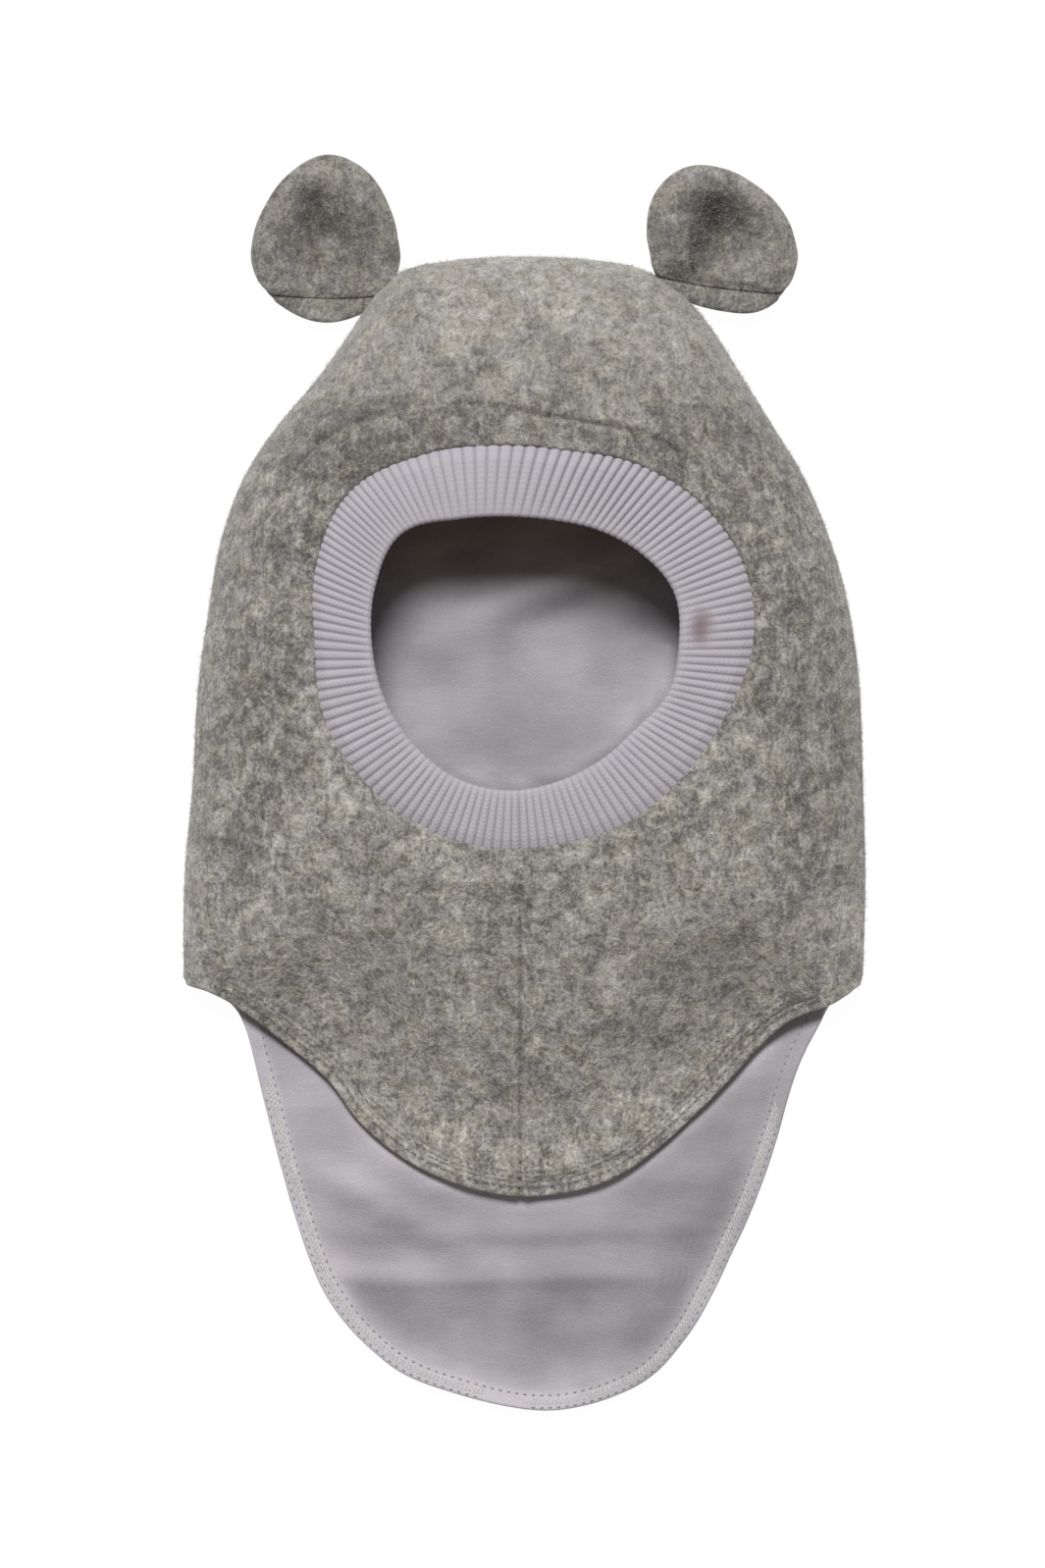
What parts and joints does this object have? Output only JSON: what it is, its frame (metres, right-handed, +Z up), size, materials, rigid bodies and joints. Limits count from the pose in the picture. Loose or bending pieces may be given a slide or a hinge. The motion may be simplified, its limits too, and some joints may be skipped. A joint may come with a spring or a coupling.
{
  "type": "baby hat with ears",
  "caption": "Baby's wool balaclava hat with bear ears, lined, with a knit face cuff, a bib and a longer back flap, lying face up.",
  "frame": {"origin": "bottom centre of the whole hat as it lies on its back panel, on the surface under it", "axes": "+Z up, out of the face opening; +Y from the neck and the flap's tip to the crown and ears; +X to the right seen from above"},
  "size_m": [0.211, 0.3905, 0.0445],
  "materials": {
    "wool_fleece": "heather-grey boiled wool fleece, matt and slightly hairy",
    "velour": "lavender-grey cotton velour with a short soft pile",
    "rib_knit": "pale lavender one-by-one rib knit, folded double"
  },
  "bodies": {
    "root": {"outer_shell": "wool_fleece", "lining": "velour", "face_rib": "rib_knit", "ear_left_front": "wool_fleece", "ear_left_back": "wool_fleece", "ear_right_front": "wool_fleece", "ear_right_back": "wool_fleece"}
  },
  "joints": []
}
